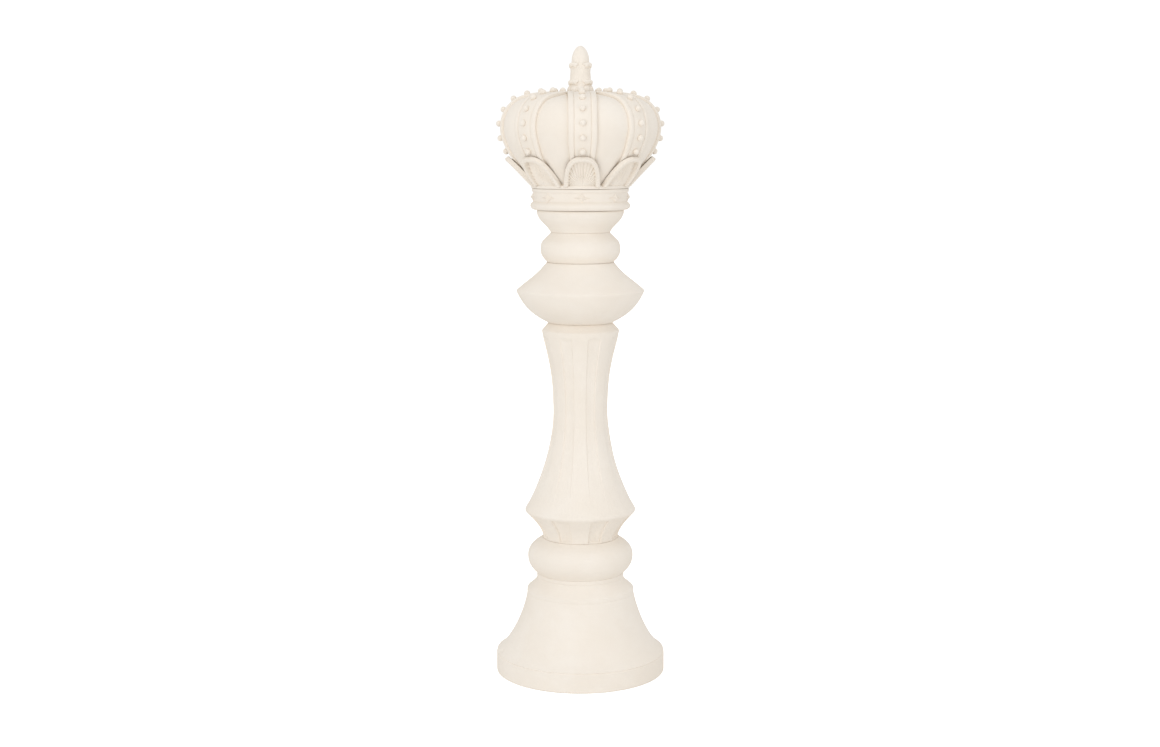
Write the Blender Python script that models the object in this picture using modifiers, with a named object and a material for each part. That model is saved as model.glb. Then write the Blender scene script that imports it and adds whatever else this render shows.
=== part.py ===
"""A giant chess king: a stack of cast-stone sections on a steel tie rod, with a crown that lifts off.

Units are metres, +Z is up, and the origin is the middle of the underside, on the floor.
The front faces -Y. Outlines are written in millimetres as (radius, height) and scaled by MM.
"""

import math

import bmesh
import bpy
from mathutils import Matrix, Vector

MM = 0.001

# Heights of the joints between the stacked sections, in millimetres.
FOOT_Z = 0.0
BELL_Z = 0.8
LOWER_RING_Z = 210.0
STEM_Z = 287.0
COLLAR_Z = 742.0
NECK_RING_Z = 867.0
NECK_CUP_Z = 929.0
BAND_Z = 975.4
CAP_Z = 1019.0
FINIAL_Z = 1200.0
TIP_Z = 1307.0

# Radii that several sections share.
BASE_R = 178.0
LEDGE_R = 92.0
RING_FOOT_R = 86.0
RING_TOP_R = 80.8
STEM_FOOT_R = 78.3
STEM_TOP_R = 66.4
COLLAR_TOP_R = 70.0
NECK_R = 61.0

# Registers: each solid section has a low spigot that centres the next one, and a hole for the rod.
SPIGOT_R = 51.0
SPIGOT_H = 5.0
GAP = 0.4

# Base plate, feet and tie rod. The rod's flat head is let into the plate from below.
PLATE_R = 160.0
PLATE_Z = 3.6
PLATE_T = 8.0
FOOT_R = 20.0
FOOT_RING_R = 128.0
FOOT_COUNT = 4
FOOT_SCREW_R = 2.4
ROD_R = 6.0
ROD_HOLE_R = 7.0
ROD_HEAD_R = 12.4
ROD_HEAD_Z = 4.0
ROD_HEAD_T = 3.8
ROD_TOP_Z = 964.0
WASHER_R = 22.0
WASHER_T = 3.0
NUT_H = 10.0
NUT_R = 10.6

# The neck cup's well for the rod's nut, and the spigot that the crown sits on.
WELL_R = 26.0
WELL_Z = 945.0
SEAT_R = 58.0
SEAT_H = 8.0
BEARING_R = 70.0
SHADOW_GAP = 2.0
STUD_R = 4.0
STUD_BOTTOM_Z = 1169.0
STUD_TOP_Z = 1237.0

# Crown ornament.
RIBS = 8
RIB_TURN = math.radians(1.7)
STAR_HALF_W = 17.0
STAR_HALF_H = 9.0
STAR_WAIST = 0.36
STAR_CLEAR = 1.2
STAR_EDGE = 1.4
STAR_PEAK = 5.2
STAR_Z = 1001.4
BAND_R = 96.0
ARCH_HALF_W = 28.5
ARCH_CLEAR = 1.2
CHANNEL_H = 2.4
ARCH_FOOT_Z = 1072.0
PEARL_R = 5.6
PEARLS = 8
PEARL_LIFT = 6.0
PEARL_START = 31.0
PEARL_END = 222.0
LEAF_HALF_W = 37.0
LEAF_FOOT = (101.0, 1025.0)
LEAF_TIP = (152.0, 1081.0)
LEAF_T = 4.0

# Segments round the turned sections.
BASE_STEPS = 32
RING_STEPS = 28
SMALL_STEPS = 16


def outline(start, *stretches):
    """Points of an outline. A stretch is a point, or (count, control, control, end) for a smooth curve."""
    points = [start]
    for stretch in stretches:
        if len(stretch) == 2:
            points.append(stretch)
            continue
        count, first, second, end = stretch
        points += bezier(points[-1], first, second, end, count)
    return points


def bezier(start, first, second, end, count):
    """The points of a cubic curve after its start."""
    points = []
    for i in range(1, count + 1):
        t = i / count
        weights = ((1 - t) ** 3, 3 * t * (1 - t) ** 2, 3 * t * t * (1 - t), t**3)
        points.append(
            tuple(sum(w * p[k] for w, p in zip(weights, (start, first, second, end))) for k in (0, 1))
        )
    return points


def material(name, colour, roughness, metallic=0.0):
    """A Principled material."""
    made = bpy.data.materials.new(name)
    made.use_nodes = True
    shader = made.node_tree.nodes["Principled BSDF"]
    shader.inputs["Base Color"].default_value = (*colour, 1.0)
    shader.inputs["Roughness"].default_value = roughness
    shader.inputs["Metallic"].default_value = metallic
    made.diffuse_color = (*colour, 1.0)
    return made


def add_object(name, mesh, collection, surface=None):
    """Link a new object for a mesh."""
    made = bpy.data.objects.new(name, mesh)
    collection.objects.link(made)
    if surface:
        made.data.materials.clear()
        made.data.materials.append(surface)
    return made


def new_mesh(name, builder):
    """A mesh from a bmesh, which is freed."""
    mesh = bpy.data.meshes.new(name)
    builder.normal_update()
    builder.to_mesh(mesh)
    builder.free()
    return mesh


def settle(thing, sharp_deg=35.0):
    """Apply an object's modifiers and shade its round faces smooth."""
    bpy.context.view_layer.update()
    graph = bpy.context.evaluated_depsgraph_get()
    mesh = bpy.data.meshes.new_from_object(thing.evaluated_get(graph), depsgraph=graph)
    thing.modifiers.clear()
    thing.data = mesh
    mesh.shade_smooth()
    mesh.set_sharp_from_angle(angle=math.radians(sharp_deg))
    return thing


def turned(name, points, steps, surface, closed=True):
    """Turn an outline round Z. It runs down the outer side, and back up the inner side if closed."""
    builder = bmesh.new()
    verts = [builder.verts.new((r * MM, 0.0, z * MM)) for r, z in points]
    pairs = list(zip(verts, verts[1:]))
    if closed:
        pairs.append((verts[-1], verts[0]))
    for pair in pairs:
        builder.edges.new(pair)
    thing = add_object(name, new_mesh(name, builder), parts, surface)
    screw = thing.modifiers.new("Turn", "SCREW")
    screw.axis = "Z"
    screw.steps = steps
    screw.render_steps = steps
    screw.merge_threshold = 0.00001
    screw.use_merge_vertices = True
    screw.use_smooth_shade = True
    return settle(thing)


def cut(thing, *tools):
    """Take the shape of each cutter away from an object."""
    for tool in tools:
        step = thing.modifiers.new(tool.name, "BOOLEAN")
        step.operation = "DIFFERENCE"
        step.solver = "EXACT"
        step.object = tool
    return settle(thing)


def peg(name, radius, low, high, sides, x=0.0, y=0.0):
    """An upright cutter with flat ends."""
    builder = bmesh.new()
    place = Matrix.Translation((x * MM, y * MM, (low + high) / 2 * MM))
    bmesh.ops.create_cone(
        builder,
        cap_ends=True,
        segments=sides,
        radius1=radius * MM,
        radius2=radius * MM,
        depth=(high - low) * MM,
        matrix=place,
    )
    thing = add_object(name, new_mesh(name, builder), cutters)
    thing.hide_render = True
    thing.display_type = "WIRE"
    return thing


def washer(name, hole, radius, low, high, surface):
    """A flat ring."""
    return turned(name, [(hole, high), (radius, high), (radius, low), (hole, low)], SMALL_STEPS, surface)


def hex_nut(name, hole, radius, low, high, surface):
    """A six-sided nut."""
    builder = bmesh.new()
    bmesh.ops.create_cone(
        builder,
        cap_ends=True,
        segments=6,
        radius1=radius * MM,
        radius2=radius * MM,
        depth=(high - low) * MM,
        matrix=Matrix.Translation((0.0, 0.0, (low + high) / 2 * MM)),
    )
    nut = add_object(name, new_mesh(name, builder), parts, surface)
    return cut(nut, peg(name + "_hole", hole, low - 2, high + 2, SMALL_STEPS))


def spun(thing, angle):
    """Turn an object about the vertical axis through the origin."""
    thing.rotation_euler = (0.0, 0.0, angle)
    return thing


def add_copies(name, mesh, surface, count, start_angle):
    """Objects round the vertical axis that share one mesh."""
    for i in range(count):
        copy = add_object(f"{name}_{i + 1}", mesh, parts, surface)
        spun(copy, start_angle + i * math.tau / count)


# ------------------------------------------------------------------ column


def spigot_up(top, bore=ROD_HOLE_R):
    """The top face of a section, from its bore outwards over its spigot."""
    return [(bore, top + SPIGOT_H), (SPIGOT_R, top + SPIGOT_H), (SPIGOT_R, top)]


def recess_under(bottom, bore=ROD_HOLE_R):
    """The underside of a section, inwards over the recess that takes the spigot below it."""
    roof = bottom + SPIGOT_H + 2 * GAP
    return [(SPIGOT_R + GAP, bottom), (SPIGOT_R + GAP, roof), (bore, roof)]


def make_base_bell():
    """The bell: plinth wall, rounded shoulder, sweeping bell, cone and deck, with a seat for the plate."""
    outer = outline(
        (LEDGE_R, LOWER_RING_Z),
        (LEDGE_R, 206),
        (4, (93, 190), (101, 184), (113, 172)),
        (113.4, 163),
        (6, (118, 138), (129, 105), (151.5, 70)),
        (155.5, 64.3),
        (3, (159, 61), (172, 55), (BASE_R, 45)),
        (BASE_R, BELL_Z + 1),
        (BASE_R - 1, BELL_Z),
    )
    seat_r = PLATE_R + 2
    seat_z = PLATE_Z + PLATE_T + GAP
    seat = [(seat_r, BELL_Z), (seat_r, seat_z), (ROD_HOLE_R, seat_z)]
    return turned("base_bell", spigot_up(LOWER_RING_Z) + outer + seat, BASE_STEPS, stone)


def make_base_plate():
    """The steel plate in the foot of the bell, drilled for the rod, its head and the feet's screws."""
    top = PLATE_Z + PLATE_T
    pocket_r = ROD_HEAD_R + GAP
    pocket_z = ROD_HEAD_Z + ROD_HEAD_T + GAP
    pocket = [(pocket_r, PLATE_Z), (pocket_r, pocket_z), (ROD_HOLE_R, pocket_z)]
    edge = [(ROD_HOLE_R, top), (PLATE_R, top), (PLATE_R, PLATE_Z)]
    plate = turned("base_plate", edge + pocket, BASE_STEPS, steel)
    holes = []
    for i in range(FOOT_COUNT):
        x, y = foot_place(i)
        holes.append(peg(f"plate_hole_{i + 1}", FOOT_SCREW_R + GAP, PLATE_Z - 5, top + 5, 8, x, y))
    return cut(plate, *holes)


def foot_place(i):
    """The middle of a foot, in millimetres."""
    angle = math.tau * (i + 0.5) / FOOT_COUNT
    return FOOT_RING_R * math.cos(angle), FOOT_RING_R * math.sin(angle)


def make_feet():
    """Four rubber pads under the plate, each held by a countersunk screw."""
    height = PLATE_Z - GAP
    screw_top = PLATE_Z + PLATE_T - GAP
    foot_edge = [
        (FOOT_SCREW_R + GAP, height),
        (FOOT_R, height),
        (FOOT_R - 1, FOOT_Z),
        (6.4, FOOT_Z),
        (6.4, 0.9),
    ]
    foot = turned("rubber_foot_1", foot_edge, SMALL_STEPS, rubber)
    screw_edge = [
        (0, screw_top),
        (FOOT_SCREW_R, screw_top),
        (FOOT_SCREW_R, 3.0),
        (5.6, 1.0),
        (5.6, 0.5),
        (0, 0.5),
    ]
    screw = turned("foot_screw_1", screw_edge, 8, steel, closed=False)
    for i in range(FOOT_COUNT):
        x, y = foot_place(i)
        here = (x * MM, y * MM, 0.0)
        for kind, first, surface in (("rubber_foot", foot, rubber), ("foot_screw", screw, steel)):
            piece = first if i == 0 else add_object(f"{kind}_{i + 1}", first.data, parts, surface)
            piece.location = here


def make_lower_ring():
    """The fat round ring between the bell and the stem."""
    bottom = LOWER_RING_Z + GAP
    outer = outline(
        (RING_TOP_R, STEM_Z),
        (5, (83, 284), (110.9, 274), (110.9, 250)),
        (4, (110.9, 230), (99.5, 224), (RING_FOOT_R, bottom)),
    )
    return turned("lower_ring", spigot_up(STEM_Z) + outer + recess_under(bottom), RING_STEPS, stone)


def make_collar():
    """The double cone with a sharp edge."""
    bottom = COLLAR_Z + GAP
    outer = outline(
        (COLLAR_TOP_R, NECK_RING_Z),
        (4, (88.6, 841), (111, 830), (133, 809.8)),
        (132.6, 806.8),
        (5, (118, 772.4), (93.5, 755), (STEM_TOP_R, bottom)),
    )
    return turned("collar", spigot_up(NECK_RING_Z) + outer + recess_under(bottom), RING_STEPS, stone)


def make_neck_ring():
    """The round ring under the neck."""
    bottom = NECK_RING_Z + GAP
    outer = outline(
        (NECK_R, NECK_CUP_Z),
        (4, (73.6, 914), (83.2, 914), (83.2, 896)),
        (3, (83.2, 883.4), (80.5, 879), (COLLAR_TOP_R - 1.5, bottom)),
    )
    return turned("neck_ring", spigot_up(NECK_CUP_Z) + outer + recess_under(bottom), RING_STEPS, stone)


def make_neck_cup():
    """The cup that carries the crown: a well for the rod's nut and a spigot for the crown."""
    bottom = NECK_CUP_Z + GAP
    seat_z = BAND_Z - GAP + SEAT_H
    outer = outline(
        (WELL_R, seat_z),
        (SEAT_R, seat_z),
        (SEAT_R, BAND_Z - GAP),
        (BEARING_R, BAND_Z - GAP),
        (BEARING_R + 1, BAND_Z - SHADOW_GAP),
        (89.5, BAND_Z - SHADOW_GAP),
        (90.6, BAND_Z - SHADOW_GAP - 2),
        (4, (86.2, 949), (70.3, 947), (NECK_R + 1, bottom)),
    )
    well = [(ROD_HOLE_R, WELL_Z), (WELL_R, WELL_Z)]
    return turned("neck_cup", outer + recess_under(bottom) + well, RING_STEPS, stone)


def make_tie_rod():
    """The rod through the whole column: a flat head at its foot, and a washer and a nut at its top."""
    head_z = ROD_HEAD_Z + ROD_HEAD_T
    head = [(ROD_HEAD_R, head_z), (ROD_HEAD_R, ROD_HEAD_Z), (0, ROD_HEAD_Z)]
    shank = [(0, ROD_TOP_Z), (ROD_R, ROD_TOP_Z), (ROD_R, head_z)]
    turned("tie_rod", shank + head, SMALL_STEPS, steel, closed=False)
    washer_z = WELL_Z + GAP
    nut_z = washer_z + WASHER_T + GAP
    washer("tie_rod_washer", ROD_HOLE_R, WASHER_R, washer_z, washer_z + WASHER_T, steel)
    hex_nut("tie_rod_nut", ROD_R + GAP, NUT_R, nut_z, nut_z + NUT_H, steel)


# ------------------------------------------------------------------ stem

PANEL_HALF = math.radians(12.7)
FLUTE_EDGE = math.radians(14.2)
FLUTE_TOP_Z = 718.0


def stem_rings():
    """(radius, height, flute depth) of the stem's outer side, from the top down."""
    shaft = outline(
        (STEM_TOP_R, COLLAR_Z),
        (80.4, 727),
        (80.4, 724),
        (5, (75.4, 687), (59.3, 664), (57, 570)),
        (6, (54.2, 488), (88, 392), (113, 356)),
        (116.2, 349),
        (115.8, 343),
        (4, (104, 331), (81.3, 310), (STEM_FOOT_R, STEM_Z + GAP)),
    )
    return [(r, z, flute_depth(z)) for r, z in shaft]


def flute_depth(z):
    """How deep the flutes are at a height: none at the plain rim, deepest at the lip."""
    if z > FLUTE_TOP_Z:
        return 0.0
    if z < STEM_Z + 1:
        return 2.0
    near_lip = math.exp(-(((z - 345.0) / 70.0) ** 2))
    near_top = math.exp(-(((z - FLUTE_TOP_Z) / 60.0) ** 2))
    return 2.2 + 2.6 * near_lip + 1.0 * near_top


def ring_angles():
    """Six angles for each of the eight panels, turned so that a panel faces the front."""
    steps = (-PANEL_HALF, 0.0, PANEL_HALF, FLUTE_EDGE, math.pi / RIBS, math.tau / RIBS - FLUTE_EDGE)
    front = -math.pi / 2 + RIB_TURN
    return [(front + k * math.tau / RIBS + a, j > 2) for k in range(RIBS) for j, a in enumerate(steps)]


def make_stem():
    """The waisted, fluted stem: a loft of plain and fluted rings round the rod's hole."""
    sections = [(r, z, 0.0) for r, z in spigot_up(COLLAR_Z)]
    sections += stem_rings()
    sections += [(r, z, 0.0) for r, z in recess_under(STEM_Z + GAP)]
    angles = ring_angles()
    builder = bmesh.new()
    loops = []
    for radius, height, depth in sections:
        loop = []
        for angle, sunk in angles:
            r = radius - (depth if sunk else 0.0)
            loop.append(builder.verts.new((r * MM * math.cos(angle), r * MM * math.sin(angle), height * MM)))
        loops.append(loop)
    loft(builder, loops + [loops[0]])
    stem = add_object("stem", new_mesh("stem", builder), parts, stone)
    return settle(stem, 20.0)


def loft(builder, loops):
    """Faces between each loop and the next, for loops that run anticlockwise, seen from above, and down."""
    count = len(loops[0])
    for upper, lower in zip(loops, loops[1:]):
        for i in range(count):
            j = (i + 1) % count
            builder.faces.new((upper[j], upper[i], lower[i], lower[j]))


# ------------------------------------------------------------------ crown


def make_crown_band():
    """The band: a disc with a rounded lower moulding, a narrow top rim and a seat in its underside."""
    outer = outline(
        (BEARING_R, CAP_Z),
        (BEARING_R + 1, CAP_Z - SHADOW_GAP),
        (99, CAP_Z - SHADOW_GAP),
        (101, CAP_Z - 4),
        (100.5, CAP_Z - 7),
        (BAND_R, CAP_Z - 8),
        (BAND_R, CAP_Z - 28),
        (3, (102, 990), (106, 983), (101, 979)),
        (97, BAND_Z),
    )
    roof_z = BAND_Z + SEAT_H + GAP
    seat = [(SEAT_R + 1, BAND_Z), (SEAT_R + 1, roof_z), (0, roof_z)]
    path = spigot_up(CAP_Z, bore=0) + outer + seat
    return turned("crown_band", path, BASE_STEPS, stone, closed=False)


def make_stars():
    """Four-pointed ridged stars, bent round the band."""
    builder = bmesh.new()
    bmesh.ops.create_circle(builder, cap_ends=True, segments=8, radius=1.0)
    back = list(builder.faces)
    for vert in builder.verts:
        on_axis = min(abs(vert.co.x), abs(vert.co.y)) < 0.1
        reach = 1.0 if on_axis else STAR_WAIST
        vert.co = Vector((vert.co.x * STAR_HALF_W * reach, vert.co.y * STAR_HALF_H * reach, 0.0))
    lifted = bmesh.ops.extrude_face_region(builder, geom=back)
    front = [g for g in lifted["geom"] if isinstance(g, bmesh.types.BMFace)]
    for vert in front[0].verts:
        vert.co.z += STAR_EDGE
    top = bmesh.ops.poke(builder, faces=front)["verts"][0]
    top.co.z += STAR_PEAK
    for vert in builder.verts:
        angle = vert.co.x / BAND_R
        radius = BAND_R + STAR_CLEAR + vert.co.z
        height = STAR_Z + vert.co.y
        vert.co = Vector((radius * math.sin(angle), -radius * math.cos(angle), height)) * MM
    bmesh.ops.recalc_face_normals(builder, faces=builder.faces)
    mesh = new_mesh("band_star", builder)
    add_copies("band_star", mesh, stone, RIBS, RIB_TURN)


CAP_ARC = 4
FLANGE_R = 101.0
CAP_FLANGE = (91.0, 1024.0)
CAP_EQUATOR = (161.0, 1138.0)
CAP_SHOULDER = (112.0, 1204.0)
CAP_CREST = (60.0, 1211.0)
CAP_DISH = (36.0, 1203.0)


def cap_meridian(count):
    """The cap's outer side above its flange, from the flange up to the dish round the finial."""
    return outline(
        CAP_FLANGE,
        (count, (110, 1046), (156, 1098), CAP_EQUATOR),
        (count, (160, 1178), (138, 1200), CAP_SHOULDER),
        (2, (100, 1207.5), (78, 1211), CAP_CREST),
        (2, (50, 1211), (42, 1208), CAP_DISH),
    )


def make_crown_cap():
    """The dome, with a flat seat and a blind hole for the finial's stud."""
    outer = list(reversed(cap_meridian(CAP_ARC)))
    low = CAP_Z + GAP
    flange = [(FLANGE_R, CAP_FLANGE[1]), (FLANGE_R, low)]
    hole_r = STUD_R + GAP
    hole_z = STUD_BOTTOM_Z - GAP
    seat = [(0, hole_z), (hole_r, hole_z), (hole_r, FINIAL_Z), (30, FINIAL_Z)]
    path = seat + outer + flange + recess_under(low, bore=0)
    return turned("crown_cap", path, BASE_STEPS, stone, closed=False)


def arch_section(half):
    """The strap's cross-section as (sideways, height): flat back, two rails, a shallow channel."""
    rail = half * 0.62
    return [
        (-half, 0.0),
        (-half, 3.2),
        (-(half + rail) / 2, 5.4),
        (-rail, CHANNEL_H),
        (0.0, CHANNEL_H),
        (rail, CHANNEL_H),
        ((half + rail) / 2, 5.4),
        (half, 3.2),
        (half, 0.0),
        (half * 0.5, 0.0),
        (0.0, 0.0),
        (-half * 0.5, 0.0),
    ]


def arch_half_width(radius):
    """Half the strap's width: full over the dome, narrower where the straps meet near the finial."""
    return min(ARCH_HALF_W, 0.37 * radius)


def on_meridian(path, i):
    """A point of the cap's meridian and the outward direction there."""
    before = path[max(i - 1, 0)]
    after = path[min(i + 1, len(path) - 1)]
    run, rise = after[0] - before[0], after[1] - before[1]
    length = math.hypot(run, rise)
    return path[i], (rise / length, -run / length)


def on_dome(radius, height, sideways):
    """A place on the front of the crown, bent round its axis by a sideways distance."""
    angle = sideways / radius if radius else 0.0
    return Vector((radius * math.sin(angle), -radius * math.cos(angle), height)) * MM


def arch_path():
    """The stretch of the cap's meridian that a strap covers."""
    return [p for p in cap_meridian(CAP_ARC) if p[1] > ARCH_FOOT_Z]


def make_arch_strap():
    """One strap over the dome, as a loft along the cap's meridian."""
    path = arch_path()
    builder = bmesh.new()
    loops = []
    for i in range(len(path)):
        (r, z), (out_r, out_z) = on_meridian(path, i)
        base_r = r + ARCH_CLEAR * out_r
        base_z = z + ARCH_CLEAR * out_z
        swell = min(1.0, 0.5 + 0.5 * i)
        loop = []
        for sideways, height in arch_section(arch_half_width(r)):
            place = on_dome(base_r, base_z, sideways)
            lift = on_dome(1000.0, 0.0, sideways / base_r * 1000.0) * out_r + Vector((0, 0, out_z))
            loop.append(builder.verts.new(place + lift * swell * height * MM))
        loops.append(loop)
    loft(builder, loops)
    builder.faces.new(loops[0])
    builder.faces.new(list(reversed(loops[-1])))
    bmesh.ops.recalc_face_normals(builder, faces=builder.faces)
    return builder


def pearl_places():
    """The middles of the pearls, evenly spread along the strap from above the leaf to near the finial."""
    path = arch_path()
    spans = [math.dist(a, b) for a, b in zip(path, path[1:])]
    places = []
    for k in range(PEARLS):
        along = PEARL_START + (PEARL_END - PEARL_START) * k / (PEARLS - 1)
        i = 0
        while along > spans[i]:
            along -= spans[i]
            i += 1
        share = along / spans[i]
        (r0, z0), (r1, z1) = path[i], path[i + 1]
        lift = (ARCH_CLEAR + PEARL_LIFT) / spans[i]
        places.append((r0 + (r1 - r0) * share + (z1 - z0) * lift, z0 + (z1 - z0) * share - (r1 - r0) * lift))
    return places


def make_arches():
    """Eight straps, each in one piece with its eight pearls."""
    strap = add_object("arch_pattern", new_mesh("arch_pattern", make_arch_strap()), cutters)
    for i, (r, z) in enumerate(pearl_places()):
        builder = bmesh.new()
        here = Matrix.Translation((0.0, -r * MM, z * MM)) @ Matrix.Rotation(0.3, 4, "X")
        bmesh.ops.create_icosphere(builder, subdivisions=1, radius=PEARL_R * MM, matrix=here)
        pearl = add_object(f"pearl_{i + 1}", new_mesh("pearl", builder), cutters)
        pearl.hide_render = True
        pearl.display_type = "WIRE"
        step = strap.modifiers.new(pearl.name, "BOOLEAN")
        step.operation = "UNION"
        step.solver = "EXACT"
        step.object = pearl
    settle(strap, 30.0)
    strap.data.materials.append(stone)
    mesh = strap.data
    bpy.data.objects.remove(strap)
    add_copies("crown_arch", mesh, stone, RIBS, RIB_TURN)


def make_leaves():
    """Eight scalloped leaves that lean out from the foot of the cap."""
    builder = bmesh.new()
    bmesh.ops.create_grid(builder, x_segments=6, y_segments=4, size=1.0)
    for vert in builder.verts:
        u, v = vert.co.x, (vert.co.y + 1) / 2
        sideways = u * LEAF_HALF_W * math.sqrt(1 - (0.88 * v) ** 2.6)
        rise = v * (1 - 0.22 * u * u * v)
        r = LEAF_FOOT[0] + (LEAF_TIP[0] - LEAF_FOOT[0]) * rise
        z = LEAF_FOOT[1] + (LEAF_TIP[1] - LEAF_FOOT[1]) * rise
        vert.co = on_dome(r, z, sideways)
    leaf = add_object("crown_leaf_1", new_mesh("crown_leaf", builder), parts, stone)
    shell = leaf.modifiers.new("Thickness", "SOLIDIFY")
    shell.thickness = LEAF_T * MM
    shell.offset = -1.0
    settle(leaf)
    mesh = leaf.data
    bpy.data.objects.remove(leaf)
    add_copies("crown_leaf", mesh, stone, RIBS, RIB_TURN)


def make_finial():
    """The bud: two tiers of curled leaves round a tapering core, with a blind hole for its stud."""
    hole_r = STUD_R + GAP
    hole_z = STUD_TOP_Z + GAP
    outer = outline(
        (0, TIP_Z),
        (3, (9, 1306), (14, 1296), (17, 1286)),
        (19.5, 1276),
        (3, (29, 1274), (28, 1262), (22.5, 1258)),
        (22.5, 1249),
        (3, (31, 1246), (29, 1232), (24, 1229)),
        (26.5, 1218),
        (28, 1206),
        (27, FINIAL_Z + GAP),
        (hole_r, FINIAL_Z + GAP),
        (hole_r, hole_z),
        (0, hole_z),
    )
    return turned("finial", outer, 24, stone, closed=False)


def make_finial_stud():
    """The stud that pins the finial to the cap."""
    edge = [(0, STUD_TOP_Z), (STUD_R, STUD_TOP_Z), (STUD_R, STUD_BOTTOM_Z), (0, STUD_BOTTOM_Z)]
    return turned("finial_stud", edge, SMALL_STEPS, steel, closed=False)


for old in list(bpy.data.objects):
    bpy.data.objects.remove(old)
parts = bpy.data.collections.new("giant_chess_king")
cutters = bpy.data.collections.new("cutters")
for group in (parts, cutters):
    bpy.context.scene.collection.children.link(group)

stone = material("cast_stone", (0.88, 0.82, 0.74), 0.85)
steel = material("zinc_steel", (0.62, 0.63, 0.64), 0.38, 1.0)
rubber = material("black_rubber", (0.03, 0.03, 0.03), 0.8)

make_base_bell()
make_base_plate()
make_feet()
make_lower_ring()
make_stem()
make_collar()
make_neck_ring()
make_neck_cup()
make_tie_rod()
make_crown_band()
make_stars()
make_crown_cap()
make_arches()
make_leaves()
make_finial()
make_finial_stud()
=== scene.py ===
"""The looks of a giant chess king in cast stone: meshes, materials, light and camera.

Lengths are in millimetres, from the middle of the underside, until a mesh is made. The front faces -Y.
An outline is a list of (radius, height, fillet, spacing). It runs down the outer side of a turned section,
and either back up its bore or from the axis to the axis.
"""

import math

import bmesh
import bpy
import numpy as np
from mathutils import Matrix, Vector


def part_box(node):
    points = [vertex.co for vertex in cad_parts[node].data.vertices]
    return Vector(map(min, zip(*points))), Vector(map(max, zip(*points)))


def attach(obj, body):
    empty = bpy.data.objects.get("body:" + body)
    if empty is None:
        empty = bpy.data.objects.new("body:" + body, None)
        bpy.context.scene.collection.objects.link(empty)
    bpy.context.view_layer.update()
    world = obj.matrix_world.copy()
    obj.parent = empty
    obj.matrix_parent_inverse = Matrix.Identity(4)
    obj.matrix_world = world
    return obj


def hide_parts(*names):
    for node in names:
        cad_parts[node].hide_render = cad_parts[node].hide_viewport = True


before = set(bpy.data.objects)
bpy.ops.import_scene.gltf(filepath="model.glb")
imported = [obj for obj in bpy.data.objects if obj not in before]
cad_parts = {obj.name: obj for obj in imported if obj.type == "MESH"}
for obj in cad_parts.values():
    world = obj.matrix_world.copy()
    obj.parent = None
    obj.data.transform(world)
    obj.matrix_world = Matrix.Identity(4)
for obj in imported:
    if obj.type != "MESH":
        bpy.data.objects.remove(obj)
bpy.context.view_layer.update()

MM = 0.001
TAU = math.tau
FRONT = -math.pi / 2


def low_z(node):
    """The height of a CAD node's underside."""
    return round(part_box(node)[0].z / MM, 1)


def high_z(node):
    """The height of a CAD node's top."""
    return round(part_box(node)[1].z / MM, 1)


# Heights and radii that the frame gives.
BELL_Z = low_z("base_bell")
RING_Z = low_z("lower_ring")
STEM_Z = low_z("stem")
COLLAR_Z = low_z("collar")
NECK_RING_Z = low_z("neck_ring")
CUP_Z = low_z("neck_cup")
SEAT_TOP_Z = high_z("neck_cup")
BAND_Z = low_z("crown_band")
CAP_Z = low_z("crown_cap")
FINIAL_Z = low_z("finial")
TIP_Z = high_z("finial")
PLATE_Z = low_z("base_plate")
PLATE_TOP_Z = high_z("base_plate")
BASE_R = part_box("base_bell")[1].x / MM
PLATE_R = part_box("base_plate")[1].x / MM

# The joints between the stacked sections.
SPIGOT_R = 51.0
SPIGOT_H = 5.0
GAP = 0.4
TIGHT = 0.06
ROD_HOLE_R = 7.0

# The tie rod, its flat head that is let into the plate, and the finial's stud.
ROD_R = 6.0
ROD_HEAD_R = 12.4
ROD_HEAD_Z = low_z("tie_rod")
ROD_HEAD_T = 3.8
STUD_R = 4.0
STUD_BOTTOM_Z = low_z("finial_stud")
STUD_TOP_Z = high_z("finial_stud")

# The crown's eight ribs.
RIBS = 8
RIB_TURN = math.radians(1.7)

# Mesh spacing: fine where it shows, coarse inside.
FINE = 1.7
COARSE = 9.0
EDGE = 0.9
ON_AXIS = 0.001

# The turn between two faces that makes the edge between them sharp.
SHARP = math.radians(38)
SHARP_CARVED = math.radians(60)
SHARP_NUT = math.radians(24)


# ------------------------------------------------------------------ outlines


def outline(start, *stretches, step=FINE):
    """A path of corners and curves. A stretch is (r, z), (r, z, fillet) or (control, control, end)."""
    path = [corner(start, step)]
    for stretch in stretches:
        if isinstance(stretch[0], tuple):
            path += curve(path[-1][:2], *stretch, step)
        else:
            path.append(corner(stretch, step))
    return path


def corner(point, step):
    """One corner of an outline, with its fillet and the spacing after it."""
    fillet = point[2] if len(point) > 2 else EDGE
    return (point[0], point[1], fillet, step)


def curve(start, first, second, end, step):
    """The points of a cubic curve after its start, about a step apart."""
    length = math.dist(start, first) + math.dist(first, second) + math.dist(second, end)
    count = max(3, round(0.85 * length / step))
    points = []
    for i in range(1, count + 1):
        t = i / count
        weights = ((1 - t) ** 3, 3 * t * (1 - t) ** 2, 3 * t * t * (1 - t), t**3)
        r, z = (sum(w * p[k] for w, p in zip(weights, (start, first, second, end))) for k in (0, 1))
        points.append((r, z, EDGE if i == count else 0.0, step))
    return points


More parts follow.
